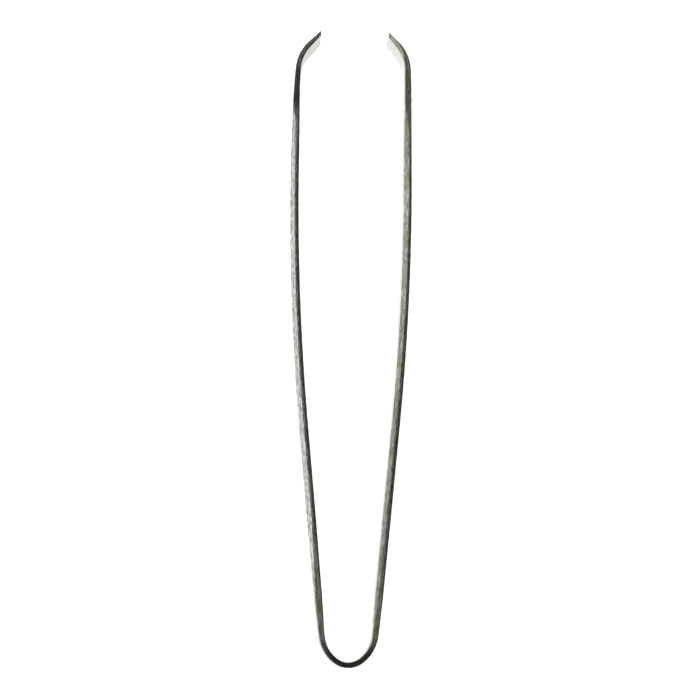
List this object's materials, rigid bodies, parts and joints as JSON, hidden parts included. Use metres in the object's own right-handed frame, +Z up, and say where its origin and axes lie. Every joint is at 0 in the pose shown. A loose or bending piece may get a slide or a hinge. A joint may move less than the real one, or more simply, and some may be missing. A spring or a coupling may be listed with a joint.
{
  "type": "stamp tongs",
  "caption": "One-piece sprung steel tongs bent from a single flat strip, with a round bow, bevelled arms and inturned jaws that meet end to end.",
  "frame": {"origin": "centre of the footprint, on the surface that the tongs lie on", "axes": "+X across the tongs towards the right arm, +Y from the bow to the jaws, +Z up along the width of the strip"},
  "size_m": [0.0229, 0.12, 0.008],
  "materials": {
    "strip_steel": "hand-filed spring steel, grained lengthwise, slightly darkened"
  },
  "bodies": {
    "bow": {"bow": "strip_steel"},
    "left_leg": {"left_spring_leg": "strip_steel"},
    "left_arm": {"left_grip_arm": "strip_steel", "left_jaw": "strip_steel"},
    "right_leg": {"right_spring_leg": "strip_steel"},
    "right_arm": {"right_grip_arm": "strip_steel", "right_jaw": "strip_steel"}
  },
  "joints": [
    {"name": "left_bow_flex", "type": "hinge", "parent": "bow", "child": "left_leg", "pos_m": [-0.00439, -0.0538, 0.004], "axis": [0, 0, -1], "range_deg": [0, 2.1], "stiffness_Nm_per_rad": 13},
    {"name": "left_leg_flex", "type": "hinge", "parent": "left_leg", "child": "left_arm", "pos_m": [-0.0061, -0.03287, 0.004], "axis": [0, 0, -1], "range_deg": [0, 1.4], "stiffness_Nm_per_rad": 13},
    {"name": "right_bow_flex", "type": "hinge", "parent": "bow", "child": "right_leg", "pos_m": [0.00439, -0.0538, 0.004], "axis": [0, 0, 1], "range_deg": [0, 2.1], "stiffness_Nm_per_rad": 13},
    {"name": "right_leg_flex", "type": "hinge", "parent": "right_leg", "child": "right_arm", "pos_m": [0.00615, -0.03287, 0.004], "axis": [0, 0, 1], "range_deg": [0, 1.4], "stiffness_Nm_per_rad": 13}
  ],
  "couplings": [
    {"joint": "left_leg_flex", "follows": "left_bow_flex", "ratio": 0.6666},
    {"joint": "right_bow_flex", "follows": "left_bow_flex", "ratio": 1},
    {"joint": "right_leg_flex", "follows": "left_bow_flex", "ratio": 0.6666}
  ]
}
